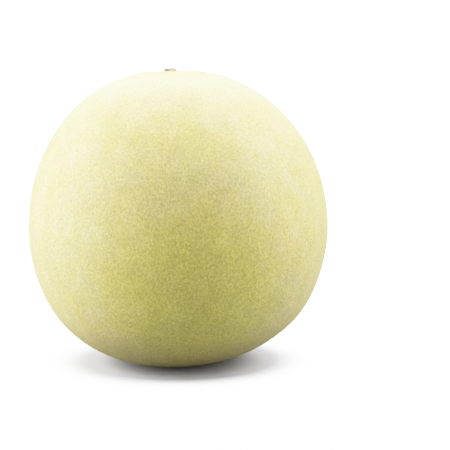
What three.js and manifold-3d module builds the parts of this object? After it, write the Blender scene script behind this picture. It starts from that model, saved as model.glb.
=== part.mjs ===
// A whole honeydew melon, as picked: one round fruit that stands on its flattened blossom end, with the
// dried, torn rest of its stem seated in the top. Millimetres, +Z up, the origin under the middle of the
// fruit on the surface that it rests on.
//
// The fruit is a sphere whose radius varies with the polar angle from the stem and the azimuth round it.
// The stem axis leans a little towards -X, and a level cut makes the spot that the fruit rests on.

import * as THREE from "three";
import { mergeVertices } from "three/addons/utils/BufferGeometryUtils.js";
import Module from "manifold-3d";

const wasm = await Module();
wasm.setup();

// The fruit
const MEAN_RADIUS = 83.3;
const EGG = 0.0134; // share of the radius: fuller round the stem and low on the sides
const SQUARE = -0.0096; // share of the radius: flatter poles and sides, fuller shoulders
const LEAN_EGG = -0.0039; // share of the radius, grows towards +X: leans the egg form over
const LEAN_SQUARE = -0.0011; // share of the radius, grows towards +X: leans the square form over
const OVAL = 0.004; // share of the radius: the girth is a little wider along one diagonal
const STEM_DIP = 1.1; // depth of the dip round the stem
const STEM_DIP_ANGLE = THREE.MathUtils.degToRad(12);
const STEM_TILT = THREE.MathUtils.degToRad(-2.7); // turn about Y that leans the stem towards -X
const FOOT_FLAT = 1.15; // how much less round the blossom end is, and how far that reaches from it
const FOOT_FLAT_ANGLE = THREE.MathUtils.degToRad(38);
const RESTING_CUT = 1.1; // height of fruit taken off below by the resting spot
const MERIDIANS = 64;
const PARALLELS = 42;

// The dried rest of the stem
const STUB_RADIUS = 4.3; // the widest, at the foot
const STUB_RIM_RADIUS = 3.7;
const STUB_WALL = 0.7;
const STUB_FOOT = 0.5; // height of the outer wall's foot
const STUB_FLOOR = 0.7; // height of the cup's floor over the foot
const UNTORN_RIM = 1.7; // height of the rim over the foot before it is torn
const RIM_STANDS = 0.3; // height of the torn rim over the rind where it is lowest
// The two taller parts of the torn rim: the azimuth of the middle, the angle from there to where the bell
// has mostly run out, and the height added in the middle.
const LUMP = { at: THREE.MathUtils.degToRad(188), half: THREE.MathUtils.degToRad(52), rise: 0.85 };
const FLAP = { at: THREE.MathUtils.degToRad(68), half: THREE.MathUtils.degToRad(48), rise: 1.0 };
const STUB_RIBS = 5;
const STUB_RIB_DEPTH = 0.06; // share of the radius lost between two ribs, either way of the mean
const SOCKET_DEPTH = 0.9; // how deep the stub is seated in the rind
const STUB_SIDES = 30;
const GAP = 0.3; // between the stub and its socket

// Radius of the fruit at a polar angle from the stem axis and an azimuth round it.
function fruitRadius(polar, azimuth) {
  const upright = EGG * Math.cos(3 * polar) + SQUARE * Math.cos(4 * polar);
  const leaning = LEAN_EGG * Math.sin(3 * polar) + LEAN_SQUARE * Math.sin(4 * polar);
  const oval = OVAL * Math.sin(polar) ** 2 * Math.sin(2 * azimuth);
  const dip = STEM_DIP * Math.exp(-((polar / STEM_DIP_ANGLE) ** 2));
  const foot = FOOT_FLAT * Math.exp(-(((Math.PI - polar) / FOOT_FLAT_ANGLE) ** 4));
  return MEAN_RADIUS * (1 + upright + leaning * Math.cos(azimuth) + oval) - dip - foot;
}

// A closed geometry as a manifold-3d solid.
function solidFrom(geometry) {
  const bare = geometry.clone();
  bare.deleteAttribute("normal");
  bare.deleteAttribute("uv");
  const merged = mergeVertices(bare, 1e-3);
  const vertProperties = merged.getAttribute("position").array;
  const triVerts = new Uint32Array(merged.index.array);
  return new wasm.Manifold(new wasm.Mesh({ numProp: 3, vertProperties, triVerts }));
}

// A manifold-3d solid as a geometry.
function geometryFrom(solid) {
  const mesh = solid.getMesh();
  const geometry = new THREE.BufferGeometry();
  geometry.setAttribute("position", new THREE.BufferAttribute(mesh.vertProperties, 3));
  geometry.setIndex(new THREE.BufferAttribute(mesh.triVerts, 1));
  geometry.computeVertexNormals();
  return geometry;
}

// The uncut fruit about its own centre, with its stem axis tilted.
function wholeFruit() {
  const geometry = new THREE.SphereGeometry(1, MERIDIANS, PARALLELS).rotateX(Math.PI / 2);
  const position = geometry.getAttribute("position");
  const point = new THREE.Vector3();
  for (let i = 0; i < position.count; i += 1) {
    point.fromBufferAttribute(position, i).normalize();
    const polar = Math.acos(THREE.MathUtils.clamp(point.z, -1, 1));
    point.multiplyScalar(fruitRadius(polar, Math.atan2(point.y, point.x)));
    position.setXYZ(i, point.x, point.y, point.z);
  }
  return geometry.rotateY(STEM_TILT);
}

// A box wider than the fruit, all of it below the resting height.
function belowRestingSpot(restingHeight) {
  const side = 4 * MEAN_RADIUS;
  return new THREE.BoxGeometry(side, side, side).translate(0, 0, restingHeight - side / 2);
}

// The round socket that the stub is seated in, on the tilted stem axis.
function stemSocket(poleHeight) {
  const height = 4 * SOCKET_DEPTH;
  return new THREE.CylinderGeometry(STUB_RADIUS + GAP, STUB_RADIUS + GAP, height, STUB_SIDES)
    .rotateX(Math.PI / 2)
    .translate(0, 0, poleHeight - SOCKET_DEPTH + height / 2)
    .rotateY(STEM_TILT);
}

// How high the torn rim stands over the rind at an azimuth: low, with a lump on one side and a thin flap on
// another, each a bell in the angle from its middle.
function rimStands(azimuth) {
  const bell = ({ at, half, rise }) => {
    const away = Math.atan2(Math.sin(azimuth - at), Math.cos(azimuth - at));
    return rise * Math.exp(-((away / half) ** 2));
  };
  return RIM_STANDS + bell(LUMP) + bell(FLAP);
}

// The stub: a low five-ribbed cup, turned about Z from its foot up, whose rim is torn to uneven heights.
function stubGeometry() {
  const profile = [
    [0, 0],
    [STUB_RADIUS, 0],
    [STUB_RADIUS, STUB_FOOT],
    [STUB_RIM_RADIUS, UNTORN_RIM],
    [STUB_RIM_RADIUS - STUB_WALL, UNTORN_RIM],
    [STUB_RIM_RADIUS - 2 * STUB_WALL, STUB_FLOOR],
    [0, STUB_FLOOR],
  ].map(([radius, height]) => new THREE.Vector2(radius, height));
  const geometry = new THREE.LatheGeometry(profile, STUB_SIDES).rotateX(Math.PI / 2);
  const position = geometry.getAttribute("position");
  for (let i = 0; i < position.count; i += 1) {
    const [x, y, z] = [position.getX(i), position.getY(i), position.getZ(i)];
    const azimuth = Math.atan2(y, x);
    const rim = SOCKET_DEPTH - GAP + rimStands(azimuth);
    const height = z > STUB_FLOOR ? rim : Math.min(z, rim);
    const rib = 1 - STUB_RIB_DEPTH * (1 - Math.cos(STUB_RIBS * azimuth));
    position.setXYZ(i, x * rib, y * rib, height);
  }
  return geometry;
}

// The finished melon: a group of the fruit and its stub, moved so that the fruit's box stands centred on
// the origin.
function honeydewMelon() {
  const poleHeight = fruitRadius(0, 0);
  const whole = wholeFruit();
  whole.computeBoundingBox();
  const restingHeight = whole.boundingBox.min.z + RESTING_CUT;
  const cut = solidFrom(whole)
    .subtract(solidFrom(belowRestingSpot(restingHeight)))
    .subtract(solidFrom(stemSocket(poleHeight)));

  const melon = new THREE.Mesh(
    geometryFrom(cut),
    new THREE.MeshStandardMaterial({ color: 0xe6e0b4, roughness: 0.45, metalness: 0 }),
  );
  melon.name = "melon";

  const stub = new THREE.Mesh(
    stubGeometry(),
    new THREE.MeshStandardMaterial({ color: 0x9a8664, roughness: 0.9, metalness: 0 }),
  );
  stub.name = "stem_stub";
  stub.position.z = poleHeight - SOCKET_DEPTH + GAP;

  const stemFrame = new THREE.Group();
  stemFrame.rotation.y = STEM_TILT;
  stemFrame.add(stub);

  melon.geometry.computeBoundingBox();
  const middle = melon.geometry.boundingBox.getCenter(new THREE.Vector3());
  const group = new THREE.Group();
  group.position.set(-middle.x, -middle.y, -restingHeight);
  group.add(melon, stemFrame);
  return group;
}

export default honeydewMelon();
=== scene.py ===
"""A whole honeydew melon: the fruit in its waxy, mottled rind, and the dried rest of the stem in its top.

The script goes through the melon as it is put together, the fruit first and then the stub of the stem that
sits in it, and ends with the studio round them. Shapes are worked out in millimetres and put into the
meshes in metres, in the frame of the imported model: +Z is up and -Y is the side that faces the camera.
"""

import math

import bpy
import numpy as np
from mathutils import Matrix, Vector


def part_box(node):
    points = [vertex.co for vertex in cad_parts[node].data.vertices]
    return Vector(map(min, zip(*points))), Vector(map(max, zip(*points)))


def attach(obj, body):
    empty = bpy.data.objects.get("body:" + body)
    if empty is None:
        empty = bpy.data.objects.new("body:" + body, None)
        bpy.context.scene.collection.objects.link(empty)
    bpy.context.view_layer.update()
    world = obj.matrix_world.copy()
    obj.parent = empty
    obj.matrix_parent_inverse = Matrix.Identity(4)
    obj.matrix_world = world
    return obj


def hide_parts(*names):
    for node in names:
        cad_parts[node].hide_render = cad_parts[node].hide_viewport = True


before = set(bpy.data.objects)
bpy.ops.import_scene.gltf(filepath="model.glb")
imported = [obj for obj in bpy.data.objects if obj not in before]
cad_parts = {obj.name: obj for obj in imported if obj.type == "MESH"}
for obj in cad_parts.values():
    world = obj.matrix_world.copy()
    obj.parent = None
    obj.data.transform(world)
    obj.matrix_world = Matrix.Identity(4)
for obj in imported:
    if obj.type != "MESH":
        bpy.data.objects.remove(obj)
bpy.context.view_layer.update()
MM = 0.001

# =====================================================================================================
# The fruit. One ripe melon, grown in one piece: pale, firm rind with a waxy bloom, covered all over in
# fine cream squiggles on a greener ground. It stands on its flattened blossom end, where it was ripest.
# =====================================================================================================

MEAN_RADIUS = 83.3
EGG = 0.0134  # share of the radius: fuller round the stem and low on the sides
SQUARE = -0.0096  # share of the radius: flatter poles and sides, fuller shoulders
LEAN_EGG = -0.0039  # share of the radius, grows towards +X
LEAN_SQUARE = -0.0011  # share of the radius, grows towards +X
OVAL = 0.004  # share of the radius: the girth is a little wider along one diagonal
STEM_DIP = 1.1
STEM_DIP_ANGLE = math.radians(12)
STEM_TILT = math.radians(-2.7)  # turn about Y that leans the stem towards -X
FOOT_FLAT = 1.15  # how much less round the blossom end is
FOOT_FLAT_ANGLE = math.radians(38)
RESTING_CUT = 1.1  # height of fruit that the resting spot flattens
RESTING_EDGE = 0.12  # how softly the flat of the resting spot turns up into the side
SWELL_HEIGHT = 0.05  # slow unevenness of a grown fruit, height of each wave
SWELL_LENGTHS = (26.0, 60.0)
SWELL_WAVES = 12
SWELL_SEED = 7
SEAT_RADIUS = 4.4  # the seat of the stub
SEAT_DEPTH = 0.75
SEAT_EDGE = 0.12  # how softly the seat's wall turns up into the rind
COLLAR_RADIUS = 5.6  # the low swelling round the seat
COLLAR_HEIGHT = 0.12
COLLAR_WIDTH = 1.3
HOLLOW_DEPTH = 0.45  # a wider hollow round the seat, on top of the dip
HOLLOW_REACH = 15.0
SHOULDER_AWAY = (15.0, 44.0)  # how far the low shoulder at the left and the full one all round are
SHOULDER_HEIGHT = (0.5, 0.3)
SHOULDER_WIDTH = (5.0, 14.0)
CREASES = 5  # shallow creases that run out from the stem
CREASE_DEPTH = 0.22
CREASE_SHARPNESS = 6
CREASE_REACH = 11.0
BLOSSOM_RADIUS = 3.4  # the corky scar of the blossom
BLOSSOM_RECESS = 0.55
BLOSSOM_EDGE = 0.2
BLOSSOM_RING_RADIUS = 0.62 * BLOSSOM_RADIUS  # the raised ring inside the scar
BLOSSOM_RING_HEIGHT = 0.3
BLOSSOM_RING_WIDTH = 0.5
ROUND = 440  # points round the fruit
ROWS = 214
STEM_CROWDING = (5, 0.13)  # how much closer the rows are at the stem, and over what angle
BLOSSOM_CROWDING = (4, 0.07)

# Colours and tints of the rind. A tint is a share of the colour that it is laid on.
FRUIT_MIDDLE = 0.08  # height of the middle of the fruit, in metres
GREENER_GROUND = (0.68, 0.615, 0.268)
YELLOWER_GROUND = (0.7, 0.605, 0.25)
CREAM_PATCH = (0.74, 0.66, 0.4)
RIPE_AND_REFLECTING_SIDE = (0.1, -0.93, -0.35)  # the way out of the fruit's middle to the yellower side: partly a side that turned yellow first, partly painted reflection of yellow-green light from the front
RIPE_AND_REFLECTED_YELLOW = (0.68, 0.655, 0.1)
STEM_CREAM = (0.83, 0.77, 0.5)
STEM_YELLOW = (0.68, 0.55, 0.15)
RIPE_YELLOW = (0.72, 0.61, 0.15)
SQUIGGLE_TINT = (1.17, 1.17, 1.22)
SPECK_TINT = (0.84, 0.84, 0.76)
MOTTLE_DARK = (0.82, 0.82, 0.75)
MOTTLE_PALE = (1.13, 1.13, 1.19)

# The rind's patterns: how far apart their marks are, in millimetres.
PATTERN_STRETCH = (1.0, 1.0, 0.8)  # they are drawn out a little from the stem to the blossom end
PATCH_SIZE = 24.0
CREAM_SIZE = 10.0
RICHNESS_SIZE = 11.0
DRIFT_SIZE = 3.0
DRIFT_REACH = 2.7  # how far the squiggles are pushed about
SQUIGGLE_SIZE = 1.65
SPECK_SIZE = 1.35
MOTTLE_SIZE = 0.9
BLOTCH_SIZE = 9.0
BLOOM_SIZE = 0.3  # the finest grain, felt in the gloss only

# Fades: a start and an end, in millimetres over the rind or in levels of a noise, and the value at either.
PATCH_FADE = (0.36, 0.64, 0.0, 1.0)
CREAM_FADE = (0.36, 0.68, 0.0, 0.28)
RIPE_AND_REFLECTING_SIDE_FADE = (0.75, 0.98, 0.0, 0.55)  # by the cosine of the angle from that yellower side, partly ripe and partly painted reflection
STEM_CREAM_FADE = (10.0, 75.0, 0.15, 0.0)
STEM_YELLOW_FADE = (14.0, 36.0, 0.6, 0.0)
RIPE_YELLOW_FADE = (20.0, 90.0, 0.6, 0.0)
STRENGTH_FADE = (15.0, 120.0, 0.62, 0.78)
RICHNESS_FADE = (0.3, 0.7, 0.75, 1.0)
SQUIGGLE_FADE = (0.015, 0.1, 1.0, 0.0)
SPECK_FADE = (0.16, 0.42, 1.0, 0.0)
SPECK_CHOICE_FADE = (0.35, 0.7, 0.0, 1.0)  # by the speck's own random number
MOTTLE_FADE = (0.25, 0.75, 0.0, 1.0)
BLOTCH_FADE = (0.3, 0.7, 0.965, 1.03)
ROUGHNESS_FADE = (0.3, 0.7, 0.5, 0.4)
BLOSSOM_CORK_FADE = (BLOSSOM_RADIUS - 0.4, BLOSSOM_RADIUS + 0.5, 1.0, 0.0)
SEAT_CORK_FADE = (SEAT_RADIUS - 0.1, SEAT_RADIUS + 0.7, 1.0, 0.0)

# The rind's relief: what each mark adds to its height, and the height of the whole.
SQUIGGLE_RELIEF = 0.5
BLOOM_RELIEF = 0.35
SPECK_RELIEF = -0.35
CORK_RELIEF = 4.0
RIND_RELIEF = 0.05
RELIEF_SHOWN = 0.6
CORK_ROUGHNESS = 0.9
RIND_SKIN = {
    "Specular IOR Level": 0.2,
    "Coat Weight": 0.05,
    "Coat Roughness": 0.3,
    "Sheen Weight": 0.05,
    "Sheen Roughness": 0.5,
    "Subsurface Weight": 0.2,
    "Subsurface Radius": (1.0, 0.8, 0.3),
    "Subsurface Scale": 3 * MM,
}


def bell(way, middle, width):
    """A smooth hump that is 1 in the middle and falls off on both sides."""
    return np.exp(-(((way - middle) / width) ** 2))


def spread_rows(count):
    """Polar angles from the stem to the blossom end, closer together near both ends, where the detail is:
    the density is 1 plus a bell at each pole, and the rows are equal steps of its running sum."""
    fine = np.linspace(0, math.pi, 4001)
    (at_stem, stem_angle), (at_blossom, blossom_angle) = STEM_CROWDING, BLOSSOM_CROWDING
    density = 1 + at_stem * bell(fine, 0, stem_angle) + at_blossom * bell(fine, math.pi, blossom_angle)
    total = np.concatenate([[0], np.cumsum((density[1:] + density[:-1]) / 2)])
    return np.interp(np.linspace(0, total[-1], count), total, fine)


def fruit_radius(polar, azimuth):
    """The grown form: a sphere changed by waves of three and four times the polar angle, a part of which
    leans towards +X, by an oval girth, by a bell-shaped dip round the stem, and by a flatter blossom end."""
    upright = EGG * np.cos(3 * polar) + SQUARE * np.cos(4 * polar)
    leaning = LEAN_EGG * np.sin(3 * polar) + LEAN_SQUARE * np.sin(4 * polar)
    oval = OVAL * np.sin(polar) ** 2 * np.sin(2 * azimuth)
    dip = STEM_DIP * np.exp(-((polar / STEM_DIP_ANGLE) ** 2))
    foot = FOOT_FLAT * np.exp(-(((math.pi - polar) / FOOT_FLAT_ANGLE) ** 4))
    return MEAN_RADIUS * (1 + upright + leaning * np.cos(azimuth) + oval) - dip - foot


def swells(directions):
    """Slow unevenness: the sum of plane waves through the fruit, of seeded directions and phases."""
    draw = np.random.default_rng(SWELL_SEED)
    total = np.zeros(directions.shape[:-1])
    for length in np.linspace(*SWELL_LENGTHS, SWELL_WAVES):
        course = draw.normal(size=3)
        course *= 2 * math.pi * MEAN_RADIUS / (length * np.linalg.norm(course))
        total += np.sin(directions @ course + draw.uniform(0, 2 * math.pi))
    return SWELL_HEIGHT * total


def stem_end(from_stem, azimuth):
    """Height added round the stem: a wide hollow, a low shoulder on the side that the stem leans to and a
    fuller one all round, a small collar, creases that run out from it, and the sunken seat of the stub."""
    hollow = HOLLOW_DEPTH * bell(from_stem, 0, HOLLOW_REACH)
    near, full = (h * bell(from_stem, *at) for h, *at in zip(SHOULDER_HEIGHT, SHOULDER_AWAY, SHOULDER_WIDTH))
    near = near * (0.5 - 0.5 * np.cos(azimuth)) ** 2
    collar = COLLAR_HEIGHT * bell(from_stem, COLLAR_RADIUS, COLLAR_WIDTH)
    wander = azimuth + 0.25 * np.sin(2 * azimuth + 0.7) + 0.02 * from_stem
    crease = (0.5 + 0.5 * np.cos(CREASES * wander)) ** CREASE_SHARPNESS
    crease = crease * bell(from_stem, COLLAR_RADIUS, CREASE_REACH)
    seat = 1 / (1 + np.exp((from_stem - SEAT_RADIUS) / SEAT_EDGE))
    return near + full - hollow + (collar - CREASE_DEPTH * crease) * (1 - seat) - SEAT_DEPTH * seat


def blossom_end(from_blossom, azimuth):
    """Height of the small corky scar inside the resting spot: a recess with a rough, raised ring in it."""
    recess = 1 / (1 + np.exp((from_blossom - BLOSSOM_RADIUS) / BLOSSOM_EDGE))
    ring = BLOSSOM_RING_HEIGHT * bell(from_blossom, BLOSSOM_RING_RADIUS, BLOSSOM_RING_WIDTH)
    rough = 1 + 0.35 * np.sin(7 * azimuth) + 0.25 * np.sin(17 * azimuth + 3 * from_blossom)
    return recess * (BLOSSOM_RECESS - ring * rough)


def leaned(points):
    """Points turned about Y, as the stem axis leans."""
    cos_lean, sin_lean = math.cos(STEM_TILT), math.sin(STEM_TILT)
    x, y, z = np.moveaxis(points, -1, 0)
    return np.stack([x * cos_lean + z * sin_lean, y, z * cos_lean - x * sin_lean], -1)


def rind_surface():
    """Points of the rind on a grid of rows, from the stem to the blossom end, by columns round the fruit.
    Each is a direction times the radius, leaned over and moved to where the melon stands; what would be
    under the floor is eased up onto it. Also the move, and the way over the rind from either end."""
    polar, azimuth = np.meshgrid(
        spread_rows(ROWS), np.linspace(0, 2 * math.pi, ROUND, endpoint=False), indexing="ij"
    )
    across = np.sin(polar)
    directions = np.stack([across * np.cos(azimuth), across * np.sin(azimuth), np.cos(polar)], -1)
    from_stem = MEAN_RADIUS * polar
    from_blossom = MEAN_RADIUS * (math.pi - polar)
    radius = fruit_radius(polar, azimuth) + swells(directions) + stem_end(from_stem, azimuth)
    points = leaned(directions * radius[..., None])

    low, high = (np.array(corner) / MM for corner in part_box("melon"))
    move = (low + high) / 2 - (points.min((0, 1)) + points.max((0, 1))) / 2
    move[2] = low[2] - points[..., 2].min() - RESTING_CUT
    points += move
    height = points[..., 2]
    eased = np.maximum(height, 0) + RESTING_EDGE * np.log1p(np.exp(-np.abs(height) / RESTING_EDGE))
    points[..., 2] = eased + blossom_end(from_blossom, azimuth)
    return points, move, from_stem, from_blossom


def closed_skin(name, points, **attributes):
    """A mesh object from a grid of points in millimetres: quads between the rows, closed round each row,
    and a fan at the first and last row, each of which is a single point. Attributes have a value a point."""
    rows, columns = points.shape[:2]
    body = points[1:-1].reshape(-1, 3)
    vertices = np.concatenate([points[0, :1], body, points[-1, :1]]) * MM
    ring = np.arange(columns)
    beside = (ring + 1) % columns
    start = 1 + columns * np.arange(rows - 3)[:, None]
    quads = np.stack([start + ring, start + columns + ring, start + columns + beside, start + beside], -1)
    last = 1 + columns * (rows - 3)
    first_fan = np.stack([np.zeros_like(ring), 1 + ring, 1 + beside], -1)
    last_fan = np.stack([last + ring, np.full_like(ring, len(vertices) - 1), last + beside], -1)
    mesh = bpy.data.meshes.new(name)
    faces = first_fan.tolist() + quads.reshape(-1, 4).tolist() + last_fan.tolist()
    mesh.from_pydata(vertices.tolist(), [], faces)
    for attribute, values in attributes.items():
        kept = np.concatenate([values[0, :1], values[1:-1].reshape(-1), values[-1, :1]])
        layer = mesh.attributes.new(attribute, "FLOAT", "POINT")
        layer.data.foreach_set("value", kept.astype(np.float32))
    mesh.shade_smooth()
    piece = bpy.data.objects.new(name, mesh)
    bpy.context.scene.collection.objects.link(piece)
    return piece


rind_points, melon_move, from_stem, from_blossom = rind_surface()
rind = closed_skin("melon_rind", rind_points, from_stem=from_stem, from_blossom=from_blossom)


def new_node(tree, kind, *values, **settings):
    """A shader node. The values go to its inputs in order: a socket is linked, None is passed over. The
    settings are its own properties."""
    made = tree.nodes.new("ShaderNode" + kind)
    for name, value in settings.items():
        setattr(made, name, value)
    for socket, value in zip(made.inputs, values):
        if isinstance(value, bpy.types.NodeSocket):
            tree.links.new(value, socket)
        elif value is not None:
            socket.default_value = value
    return made


def maths(tree, operation, *values):
    """The result of a sum on one, two or three values."""
    return new_node(tree, "Math", *values, operation=operation).outputs[0]


def ease(tree, value, start, end, low=0.0, high=1.0):
    """A value that goes smoothly from low to high as the given one goes from start to end."""
    made = new_node(tree, "MapRange", value, start, end, low, high, interpolation_type="SMOOTHSTEP")
    return made.outputs[0]


def cloud(tree, place, size, detail=2.0, roughness=0.5, output=0):
    """Noise whose lumps are about size millimetres apart, at a place given in millimetres."""
    return new_node(tree, "TexNoise", place, None, 1 / size, detail, roughness).outputs[output]


def stain(tree, share, under, over, blend="MIX"):
    """The colour under, with the colour over laid on it, or with the blend MULTIPLY times it, by share."""
    made = tree.nodes.new("ShaderNodeMix")
    made.data_type = "RGBA"
    made.blend_type = blend
    for socket, value in zip((made.inputs[0], made.inputs[6], made.inputs[7]), (share, under, over)):
        if isinstance(value, bpy.types.NodeSocket):
            tree.links.new(value, socket)
        else:
            socket.default_value = value if isinstance(value, float) else (*value, 1.0)
    return made.outputs[2]


def place_in_mm(tree, stretch=(1.0, 1.0, 1.0)):
    """The piece's own coordinates in millimetres. A stretch under 1 draws a pattern out along that axis."""
    own = tree.nodes.new("ShaderNodeTexCoord").outputs["Object"]
    return new_node(tree, "Mapping", own, None, None, [s / MM for s in stretch]).outputs[0]


def new_group(name, inputs, outputs):
    """An empty shader node group with named inputs and outputs, given as name, type and default."""
    group = bpy.data.node_groups.new(name, "ShaderNodeTree")
    for label, kind, default in inputs:
        socket = group.interface.new_socket(label, in_out="INPUT", socket_type="NodeSocket" + kind)
        if default is not None:
            socket.default_value = default
    for label, kind in outputs:
        group.interface.new_socket(label, in_out="OUTPUT", socket_type="NodeSocket" + kind)
    return group, group.nodes.new("NodeGroupInput"), group.nodes.new("NodeGroupOutput")


def cork_group():
    """Dead, corky tissue, as on the blossom scar and in the dried stem: a tan ground, paler crumbs and dark
    cracks between them. Puts out the colour and how high the surface stands, from 0 to 1."""
    group, given, result = new_group(
        "cork",
        [
            ("Place", "Vector", None),
            ("Crumb Size", "Float", 0.8),
            ("Ground", "Color", (0.36, 0.27, 0.15, 1)),
            ("Crumb", "Color", (0.6, 0.5, 0.33, 1)),
            ("Crack", "Color", (0.08, 0.05, 0.025, 1)),
        ],
        [("Color", "Color"), ("Height", "Float")],
    )
    density = maths(group, "DIVIDE", 1.0, given.outputs["Crumb Size"])
    cells = new_node(group, "TexVoronoi", given.outputs["Place"], None, density, feature="DISTANCE_TO_EDGE")
    crack = ease(group, cells.outputs["Distance"], 0.0, 0.14, 1.0, 0.0)
    lumps = new_node(group, "TexNoise", given.outputs["Place"], None, density, 4.0, 0.6).outputs[0]
    crumb = ease(group, lumps, 0.42, 0.66)
    colour = stain(group, crumb, given.outputs["Ground"], given.outputs["Crumb"])
    colour = stain(group, maths(group, "MULTIPLY", crack, 0.7), colour, given.outputs["Crack"])
    group.links.new(colour, result.inputs["Color"])
    stands = maths(group, "MULTIPLY_ADD", crumb, 0.6, 0.4)
    group.links.new(maths(group, "MULTIPLY_ADD", crack, -0.4, stands), result.inputs["Height"])
    return group


def own_value(tree, name):
    """A value that the piece's mesh has at each of its points."""
    made = tree.nodes.new("ShaderNodeAttribute")
    made.attribute_name = name
    return made.outputs["Fac"]


def add_relief(tree, skin, height, shown, scale):
    """Bump on a shader from a height of 0 to about 1, of which 1 stands for so many millimetres."""
    bump = new_node(tree, "Bump", shown, scale * MM)
    tree.links.new(height, bump.inputs["Height"])
    tree.links.new(bump.outputs[0], skin.inputs["Normal"])


def rind_material(cork):
    """Waxy rind. The colour is a green to yellow ground in slow patches, cream squiggles, fine mottling and
    small olive specks on it, a creamier stem end, a yellower ripe end, and cork in the blossom scar."""
    material = bpy.data.materials.new("waxy_mottled_rind")
    material.use_nodes = True
    tree = material.node_tree
    skin = tree.nodes["Principled BSDF"]
    place = place_in_mm(tree, PATTERN_STRETCH)
    stem_way = own_value(tree, "from_stem")
    blossom_way = own_value(tree, "from_blossom")

    # The ground colour: slow patches of green, yellow and cream, and a side that is yellower than the rest,
    #     partly as it ripened first and partly as painted reflection of yellow-green light from the front.
    patch = ease(tree, cloud(tree, place, PATCH_SIZE), *PATCH_FADE)
    colour = stain(tree, patch, GREENER_GROUND, YELLOWER_GROUND)
    creamy = ease(tree, cloud(tree, place, CREAM_SIZE, 0.6), *CREAM_FADE)
    colour = stain(tree, creamy, colour, CREAM_PATCH)
    own = tree.nodes.new("ShaderNodeTexCoord").outputs["Object"]
    outward = new_node(tree, "VectorMath", own, (0, 0, FRUIT_MIDDLE), operation="SUBTRACT").outputs[0]
    outward = new_node(tree, "VectorMath", outward, operation="NORMALIZE").outputs[0]
    facing = new_node(tree, "VectorMath", outward, RIPE_AND_REFLECTING_SIDE, operation="DOT_PRODUCT").outputs["Value"]
    colour = stain(tree, ease(tree, facing, *RIPE_AND_REFLECTING_SIDE_FADE), colour, RIPE_AND_REFLECTED_YELLOW)

    # Creamier towards the stem, yellow close round it, and yellower where it lay on the ground.
    colour = stain(tree, ease(tree, stem_way, *STEM_CREAM_FADE), colour, STEM_CREAM)
    colour = stain(tree, ease(tree, stem_way, *STEM_YELLOW_FADE), colour, STEM_YELLOW)
    colour = stain(tree, ease(tree, blossom_way, *RIPE_YELLOW_FADE), colour, RIPE_YELLOW)

    # The squiggles: the thin lines where a wandering noise passes its middle value. They stand out more
    # further from the stem, as the specks and the fine mottling do.
    strength = ease(tree, stem_way, *STRENGTH_FADE)
    richness = ease(tree, cloud(tree, place, RICHNESS_SIZE, 1.0), *RICHNESS_FADE)
    richness = maths(tree, "MULTIPLY", strength, richness)
    drift = cloud(tree, place, DRIFT_SIZE, 2.0, 0.6, output=1)
    pushed = new_node(tree, "VectorMath", drift, [DRIFT_REACH] * 3, place, operation="MULTIPLY_ADD")
    veins = cloud(tree, pushed.outputs[0], SQUIGGLE_SIZE, 1.0)
    off_line = maths(tree, "ABSOLUTE", maths(tree, "SUBTRACT", veins, 0.5))
    squiggle = ease(tree, off_line, *SQUIGGLE_FADE)
    colour = stain(tree, maths(tree, "MULTIPLY", squiggle, richness), colour, SQUIGGLE_TINT, "MULTIPLY")

    # The specks, of which some show and some don't, the fine mottling and the slow blotches.
    pits = new_node(tree, "TexVoronoi", place, None, 1 / SPECK_SIZE)
    dot = ease(tree, pits.outputs["Distance"], *SPECK_FADE)
    number = new_node(tree, "SeparateColor", pits.outputs["Color"]).outputs[0]
    speck = maths(tree, "MULTIPLY", dot, ease(tree, number, *SPECK_CHOICE_FADE))
    colour = stain(tree, maths(tree, "MULTIPLY", speck, richness), colour, SPECK_TINT, "MULTIPLY")
    mottle = cloud(tree, place, MOTTLE_SIZE, 1.0, 0.4)
    mottle_tint = stain(tree, ease(tree, mottle, *MOTTLE_FADE), MOTTLE_DARK, MOTTLE_PALE)
    colour = stain(tree, strength, colour, mottle_tint, "MULTIPLY")
    blotch = ease(tree, cloud(tree, place, BLOTCH_SIZE, 1.0), *BLOTCH_FADE)
    colour = new_node(tree, "VectorMath", colour, None, None, blotch, operation="SCALE").outputs[0]

    # Cork in the blossom scar and in the seat of the stem.
    scar = new_node(tree, "Group", place, 0.7, node_tree=cork)
    in_blossom = ease(tree, blossom_way, *BLOSSOM_CORK_FADE)
    in_scar = maths(tree, "MAXIMUM", in_blossom, ease(tree, stem_way, *SEAT_CORK_FADE))
    colour = stain(tree, in_scar, colour, scar.outputs["Color"])
    tree.links.new(colour, skin.inputs["Base Color"])

    roughness = ease(tree, mottle, *ROUGHNESS_FADE)
    roughness = maths(tree, "MAXIMUM", roughness, maths(tree, "MULTIPLY", in_scar, CORK_ROUGHNESS))
    tree.links.new(roughness, skin.inputs["Roughness"])
    bloom = maths(tree, "MULTIPLY", cloud(tree, place, BLOOM_SIZE), BLOOM_RELIEF)
    relief = maths(tree, "MULTIPLY_ADD", squiggle, SQUIGGLE_RELIEF, bloom)
    relief = maths(tree, "MULTIPLY_ADD", speck, SPECK_RELIEF, relief)
    crumbs = maths(tree, "MULTIPLY", in_scar, scar.outputs["Height"])
    relief = maths(tree, "MULTIPLY_ADD", crumbs, CORK_RELIEF, relief)
    add_relief(tree, skin, relief, RELIEF_SHOWN, RIND_RELIEF)
    for socket, value in RIND_SKIN.items():
        skin.inputs[socket].default_value = value
    return material


cork = cork_group()
rind.data.materials.append(rind_material(cork))
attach(rind, "root")
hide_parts("melon")

# =====================================================================================================
# The stub of the stem. When a ripe melon slips off its vine, the foot of the stem dries and tears: a low
# cup with five ribs is left, brown and fibrous, with a thick lump on one side and a thin flap on the other.
# =====================================================================================================

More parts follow.
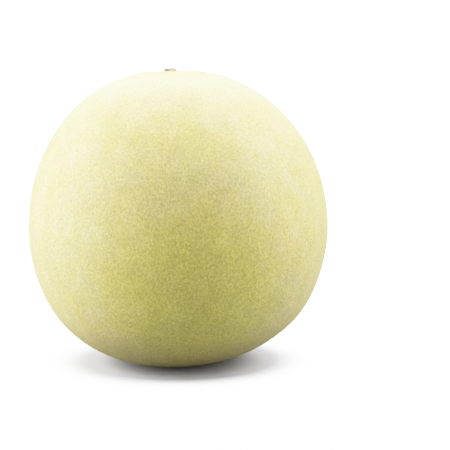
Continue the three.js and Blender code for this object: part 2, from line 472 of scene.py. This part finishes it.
STUB_RADIUS = 4.15
STUB_RIM_RADIUS = 3.65
STUB_SINKS = 1.15  # depth of the foot below the top of the uncut fruit
STUB_RIBS = 5
STUB_RIB_DEPTH = 0.05  # share of the radius lost between two ribs, either way of the mean
STUB_FLOOR = 0.1  # height of the cup's floor over the rind
FLOOR_SAG = 0.12
FOOT_BEVEL = 0.3
RIM_LOW = 0.3  # height of the rim where it is lowest
RIM_ROUNDING = 0.12
LUMP = (math.radians(202), math.radians(58), 0.9)  # middle, half of its spread, and the height added
FLAP = (math.radians(68), math.radians(52), 0.95)
TEETH = ((11, 0.4), (17, 2.1), (29, 1.3), (43, 4.0), (71, 5.2))  # how many round the rim, and a phase
TEETH_HEIGHT = 0.05
THIN_WALL = 0.55
THICK_WALL = (math.radians(202), math.radians(56), 1.25)  # middle, half of its spread, thickness added
FIBRES = ((47, 0.0, 0.035), (71, 1.0, 0.03), (31, 2.0, 0.03))  # how many round, a phase, how far out
STUB_ROUND = 300  # points round the stub

FIBRE_DARK = (0.25, 0.215, 0.16)
FIBRE_LIGHT = (0.48, 0.43, 0.34)
BLEACHED = (0.95, 0.91, 0.74)
FIBRE_SIZE = 0.28
FIBRE_STRETCH = (1.0, 1.0, 0.22)
CRUMB_SIZE = 0.45
CRUMBS_SHOWN = 0.35
BELOW_EDGE_FADE = (0.52, 0.74, 1.0, 0.0)  # shares of the way up the wall
OVER_FLOOR_FADE = (0.05, 0.2, 0.0, 1.0)
THIN_WALL_FADE = (0.6, 1.3, 1.0, 0.15)  # thickness of the wall


def swelling(azimuth, middle, half, rise):
    """What a flat-topped hump adds at an azimuth: all its rise in the middle, and little past its half."""
    away = (azimuth - middle + math.pi) % (2 * math.pi) - math.pi
    return rise * np.exp(-((away / half) ** 4))


def rim_height(azimuth):
    """How high the torn rim stands over the rind, round the cup: a lump at the left, a thin arched flap at
    the back and right, and a low front, all with small teeth from waves of many lengths."""
    teeth = np.zeros_like(azimuth)
    for count, phase in TEETH:
        teeth += np.sin(count * azimuth + phase) / count**0.4
    return RIM_LOW + swelling(azimuth, *LUMP) + swelling(azimuth, *FLAP) + TEETH_HEIGHT * teeth


def stub_surface():
    """Points of the stub on a grid: each row is a ring of the profile, from the middle of the foot out and
    up the outer wall, over the rim and down into the cup. Ribs and fibres push the outer wall in and out.
    Also how far up the wall each point is, from 0 to 1 at the rim and 0 on the cup's floor, and how thick
    the wall is there."""
    azimuth = np.linspace(0, 2 * math.pi, STUB_ROUND, endpoint=False)
    rim = rim_height(azimuth)
    wall = THIN_WALL + swelling(azimuth, *THICK_WALL)
    rib = 1 - STUB_RIB_DEPTH * (1 - np.cos(STUB_RIBS * azimuth))
    fibre = sum(out * np.sin(count * azimuth + phase) for count, phase, out in FIBRES)
    wall_foot = FOOT_BEVEL - STUB_SINKS
    wall_top = rim - RIM_ROUNDING

    foot = [(0.0, -STUB_SINKS), (0.5, -STUB_SINKS), (0.94, -STUB_SINKS), (1.0, wall_foot)]
    rows = [(share * STUB_RADIUS * rib, np.full_like(azimuth, height)) for share, height in foot]
    for share in np.linspace(0, 1, 16)[1:]:
        flare = STUB_RADIUS + (STUB_RIM_RADIUS - STUB_RADIUS) * share**0.6
        rows.append((flare * rib + fibre * (0.4 + share), wall_foot + (wall_top - wall_foot) * share))
    outer = STUB_RIM_RADIUS * rib + fibre * 1.4
    inner = outer - 0.75 * wall
    for angle in np.linspace(0, math.pi, 8)[1:-1]:
        over = (1 - math.cos(angle)) / 2
        rows.append((outer + (inner - outer) * over, wall_top + (RIM_ROUNDING + 0.02) * math.sin(angle)))
    inner_foot = inner - 0.35 - 0.2 * wall
    for share in np.linspace(0, 1, 12):
        radius = inner + (inner_foot - inner) * share**1.5 + fibre * 0.6 * (1 - share)
        rows.append((radius, wall_top + (STUB_FLOOR - wall_top) * share))
    first_of_floor = len(rows)
    for share in np.linspace(1, 0, 14)[1:]:
        pith = 0.1 * np.sin(9 * share) * np.cos(3 * azimuth + 5 * share)
        pith = pith + 0.06 * np.sin(23 * share + 7 * azimuth)
        height = STUB_FLOOR - FLOOR_SAG * (1 - share) + pith * share * (1 - share) * 4
        rows.append((inner_foot * share, height))
    radius = np.stack([row[0] for row in rows])
    height = np.stack([row[1] for row in rows])
    reach = np.clip((height + 0.1) / np.maximum(rim, 0.3), 0, 1)
    reach[first_of_floor:] = 0

    upright = [radius * np.cos(azimuth), radius * np.sin(azimuth), fruit_radius(0.0, 0.0) + height]
    points = leaned(np.stack(upright, -1)) + melon_move
    thick = np.broadcast_to(wall, radius.shape)
    return points[::-1], reach[::-1], thick[::-1]


stub_points, reach, thick = stub_surface()
stub = closed_skin("dried_stem_stub", stub_points, reach=reach, thick=thick)


def stub_material(cork):
    """Dried stem: brown fibres drawn up the wall, corky crumbs on them, and a bleached inside."""
    material = bpy.data.materials.new("dried_stem_fibre")
    material.use_nodes = True
    tree = material.node_tree
    skin = tree.nodes["Principled BSDF"]
    place = place_in_mm(tree)
    fibres = cloud(tree, place_in_mm(tree, FIBRE_STRETCH), FIBRE_SIZE, 3.0, 0.6)
    crumbs = new_node(tree, "Group", place, CRUMB_SIZE, node_tree=cork)
    brown = stain(tree, ease(tree, fibres, 0.32, 0.68), FIBRE_DARK, FIBRE_LIGHT)
    colour = stain(tree, CRUMBS_SHOWN, brown, crumbs.outputs["Color"])

    # Bleached inside the cup and on the low wall, but not on the floor, the edge or the thick lump.
    reach = own_value(tree, "reach")
    on_wall = maths(
        tree, "MULTIPLY", ease(tree, reach, *BELOW_EDGE_FADE), ease(tree, reach, *OVER_FLOOR_FADE)
    )
    bleached = maths(tree, "MULTIPLY", on_wall, ease(tree, own_value(tree, "thick"), *THIN_WALL_FADE))
    colour = stain(tree, bleached, colour, BLEACHED)
    tree.links.new(colour, skin.inputs["Base Color"])
    skin.inputs["Roughness"].default_value = 0.85
    relief = maths(tree, "ADD", fibres, maths(tree, "MULTIPLY", crumbs.outputs["Height"], 0.5))
    add_relief(tree, skin, relief, 0.8, 0.12)
    return material


stub.data.materials.append(stub_material(cork))
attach(stub, "root")
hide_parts("stem_stub")

# =====================================================================================================
# The studio. A white floor and a white surround, softboxes above, behind and at both sides, and no lamp in
# front. The camera stands a little above the middle of the fruit, and its film holds back the brightest
# tones, so that the pale rind keeps its colour up to the edge.
# =====================================================================================================

FLOOR_SIZE = 6.0
FLOOR_BOUNCE = 0.25  # how white the floor is for the light that it throws up at the fruit
FLOOR_SHOWN = 0.95  # and for the camera, close to the fruit
FLOOR_COOL = (0.87, 0.89, 1.0)  # the white that the camera sees is a cool one
SHADOW_REACH = (53.0, 43.5, 1000.0)  # how far the floor's shadow shows, along X and Y, both the lamps' shadow and the painted one in its colour
PAINTED_SHADOW_FADE = (0.315, 0.9, 0.0, 1.0)  # shares of that reach over which a painted shadow takes the floor's colour from black at the fruit's foot up to white
PLAIN_FADE = (0.97, 1.75, 0.0, 1.0)  # and on to the floor that is plain white
WHITE = 4.0  # light that the film shows as pure white
SURROUND_LIGHT = 0.475  # what the white surround throws at the fruit
LAMPS_AIM = (0, 0, 0.08)
FILM_KNEE = 0.5  # the film shows light as it is up to here
FILM_STEPS = (0.25, 0.5, 0.6, 0.7, 0.8, 0.9, 1.0, 1.15, 1.3, 1.5, 1.75, 2.0, 2.4, 3.0)


def studio_floor():
    """One flat sheet at the height that the fruit rests on. Round the fruit's foot the camera sees its
    shadow, deepened by a painted shadow: for the camera only, the floor's colour goes from black at the
    foot up to white. Further out the floor is plain white. From below the floor is clear, so that the
    underside of the fruit can be looked at."""
    half = FLOOR_SIZE / 2
    corners = [(-half, -half, 0), (half, -half, 0), (half, half, 0), (-half, half, 0)]
    mesh = bpy.data.meshes.new("studio_floor")
    mesh.from_pydata(corners, [], [(0, 1, 2, 3)])
    floor = bpy.data.objects.new("studio_floor", mesh)
    bpy.context.scene.collection.objects.link(floor)
    material = bpy.data.materials.new("white_floor")
    material.use_nodes = True
    tree = material.node_tree
    tree.nodes.remove(tree.nodes["Principled BSDF"])
    seen = new_node(tree, "LightPath").outputs["Is Camera Ray"]
    place = place_in_mm(tree, [1 / reach for reach in SHADOW_REACH])
    way = new_node(tree, "VectorMath", place, operation="LENGTH").outputs["Value"]
    # Painted shadow: for the camera the floor's colour is black at the fruit's foot and lifts to white
    # further out, on top of the lamps' own shadow.
    painted_shadow_lift = new_node(tree, "MapRange", way, *PAINTED_SHADOW_FADE).outputs[0]
    shown = maths(tree, "MULTIPLY", maths(tree, "SQRT", painted_shadow_lift), FLOOR_SHOWN)
    shade = new_node(tree, "MapRange", seen, 0.0, 1.0, FLOOR_BOUNCE, shown).outputs[0]
    white = stain(tree, seen, (1, 1, 1), FLOOR_COOL)
    shaded = new_node(tree, "VectorMath", white, None, None, shade, operation="SCALE").outputs[0]
    paint = new_node(tree, "BsdfDiffuse", shaded).outputs[0]
    glow = new_node(tree, "Emission", (1, 1, 1, 1), WHITE).outputs[0]
    clear = maths(tree, "MULTIPLY", seen, ease(tree, way, *PLAIN_FADE))
    above = new_node(tree, "MixShader", clear, paint, glow).outputs[0]
    below = new_node(tree, "BsdfTransparent").outputs[0]
    underneath = new_node(tree, "NewGeometry").outputs["Backfacing"]
    both = new_node(tree, "MixShader", underneath, above, below).outputs[0]
    tree.links.new(both, tree.nodes["Material Output"].inputs["Surface"])
    mesh.materials.append(material)
    return floor


def aim(item, target):
    """Turns a lamp or the camera, which look along their own -Z, to look at the target, upright."""
    way = np.array(target) - np.array(item.location)
    turn = math.atan2(way[1], way[0]) - math.pi / 2
    lift = math.atan2(way[2], math.hypot(way[0], way[1])) + math.pi / 2
    item.rotation_euler = (lift, 0, turn)


def softbox(name, place, size, power):
    """A rectangular lamp that is white all over its face and aimed at the middle of the fruit."""
    data = bpy.data.lights.new(name, "AREA")
    data.shape = "RECTANGLE"
    data.size, data.size_y = size
    data.energy = power
    lamp = bpy.data.objects.new(name, data)
    lamp.location = place
    bpy.context.scene.collection.objects.link(lamp)
    aim(lamp, LAMPS_AIM)


def film_response(light):
    """What the film shows for an amount of light: as much, up to the knee, and then ever less of it,
    towards 1, with no corner at the knee."""
    left = 1 - FILM_KNEE
    return light if light < FILM_KNEE else 1 - left * math.exp((FILM_KNEE - light) / left)


studio_floor()
softbox("top_softbox", (0.0, 0.25, 0.95), (0.8, 0.8), 8.0)
softbox("back_softbox", (0.0, 0.75, 0.75), (1.0, 0.6), 4.6)
softbox("left_back_softbox", (-0.75, 0.3, 0.3), (0.5, 0.8), 3.3)
softbox("left_softbox", (-0.85, -0.15, 0.35), (0.6, 0.8), 11.4)
softbox("right_softbox", (0.85, -0.15, 0.35), (0.6, 0.8), 4.9)
softbox("top_right_softbox", (0.6, 0.1, 0.8), (0.6, 0.8), 7.2)

world = bpy.data.worlds.new("white_surround")
world.use_nodes = True
sky = world.node_tree
seen = sky.nodes.new("ShaderNodeLightPath").outputs["Is Camera Ray"]
surround = new_node(sky, "MapRange", seen, 0.0, 1.0, SURROUND_LIGHT, WHITE).outputs[0]
sky.links.new(surround, sky.nodes["Background"].inputs["Strength"])
sky.nodes["Background"].inputs["Color"].default_value = (1, 1, 1, 1)
bpy.context.scene.world = world

view = bpy.context.scene.view_settings
view.view_transform = "Standard"
view.use_curve_mapping = True
view.curve_mapping.white_level = (WHITE, WHITE, WHITE)
tone_curve = view.curve_mapping.curves[3]
for light in FILM_STEPS:
    tone_curve.points.new(light / WHITE, film_response(light))
for point in tone_curve.points:
    point.handle_type = "VECTOR"
view.curve_mapping.update()

CAMERA_LENS = 100
CAMERA_FILM = 36
CAMERA_DISTANCE = 0.6948
CAMERA_LIFT = math.radians(8)
FRUIT_CENTRE = (-0.0003, 0.0, 0.07915)
AIM_RIGHT = 0.02597  # the camera looks a little past the fruit's centre, which puts the fruit at the left
AIM_DOWN = 0.00285
camera_data = bpy.data.cameras.new("camera")
camera_data.lens = CAMERA_LENS
camera_data.sensor_width = CAMERA_FILM
camera_data.clip_end = 100
camera = bpy.data.objects.new("camera", camera_data)
camera.location = (
    FRUIT_CENTRE[0],
    FRUIT_CENTRE[1] - CAMERA_DISTANCE * math.cos(CAMERA_LIFT),
    FRUIT_CENTRE[2] + CAMERA_DISTANCE * math.sin(CAMERA_LIFT),
)
bpy.context.scene.collection.objects.link(camera)
aim(camera, (FRUIT_CENTRE[0] + AIM_RIGHT, FRUIT_CENTRE[1], FRUIT_CENTRE[2] - AIM_DOWN))
bpy.context.scene.camera = camera
